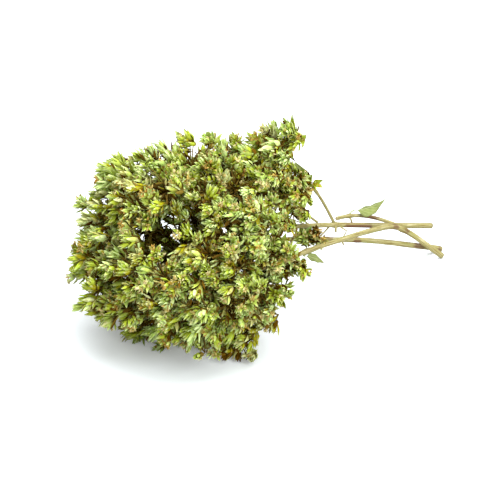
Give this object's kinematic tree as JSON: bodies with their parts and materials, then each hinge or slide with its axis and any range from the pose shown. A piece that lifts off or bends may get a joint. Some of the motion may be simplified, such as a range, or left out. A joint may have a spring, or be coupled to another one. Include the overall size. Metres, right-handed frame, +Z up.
{
  "type": "dried oregano bunch",
  "caption": "Bunch of dried oregano lying on its side: thin cut stems that branch into a rounded head of small dry flowering tops, with a few leaves left on the stems.",
  "frame": {"origin": "on the surface the bunch lies on, under the middle of its bounding box", "axes": "+Z up from the surface, +X along the bunch from the flower heads to the cut stem ends, +Y across the bunch"},
  "size_m": [0.1874, 0.1, 0.0955],
  "materials": {
    "stem": "dry straw-coloured stem, matte",
    "leaf": "dry grey-green leaf, matte",
    "flowering_top": "dry yellow-green bracts with brown flower remains, matte"
  },
  "bodies": {
    "root": {"stem_a": "stem", "stem_b": "stem", "stem_c": "stem", "broken_shoot": "stem", "branch_to_lobe": "stem", "branch_to_side": "stem", "leaf_on_shoot": "leaf", "leaf_under_knot": "leaf", "leaf_on_branch": "leaf", "top_a1": "flowering_top", "top_a2": "flowering_top", "top_a3": "flowering_top", "top_a4": "flowering_top", "top_a5": "flowering_top", "top_a6": "flowering_top", "top_a7": "flowering_top", "top_a8": "flowering_top", "top_a9": "flowering_top", "top_a10": "flowering_top", "top_a11": "flowering_top", "top_a12": "flowering_top", "top_a13": "flowering_top", "top_lobe1": "flowering_top", "top_lobe2": "flowering_top", "top_lobe3": "flowering_top", "top_lobe4": "flowering_top", "top_lobe5": "flowering_top", "top_b1": "flowering_top", "top_b2": "flowering_top", "top_b3": "flowering_top", "top_b4": "flowering_top", "top_b5": "flowering_top", "top_b6": "flowering_top", "top_b7": "flowering_top", "top_b8": "flowering_top", "top_b9": "flowering_top", "top_b10": "flowering_top", "top_b11": "flowering_top", "top_b12": "flowering_top", "top_b13": "flowering_top", "top_b14": "flowering_top", "top_b15": "flowering_top", "top_b16": "flowering_top", "top_b17": "flowering_top", "top_b18": "flowering_top", "top_c1": "flowering_top", "top_c2": "flowering_top", "top_c3": "flowering_top", "top_c4": "flowering_top", "top_c5": "flowering_top", "top_c6": "flowering_top", "top_c7": "flowering_top", "top_c8": "flowering_top", "top_c9": "flowering_top", "top_on_side_branch": "flowering_top", "top_between_stems": "flowering_top", "top_below_stems": "flowering_top"}
  },
  "joints": []
}
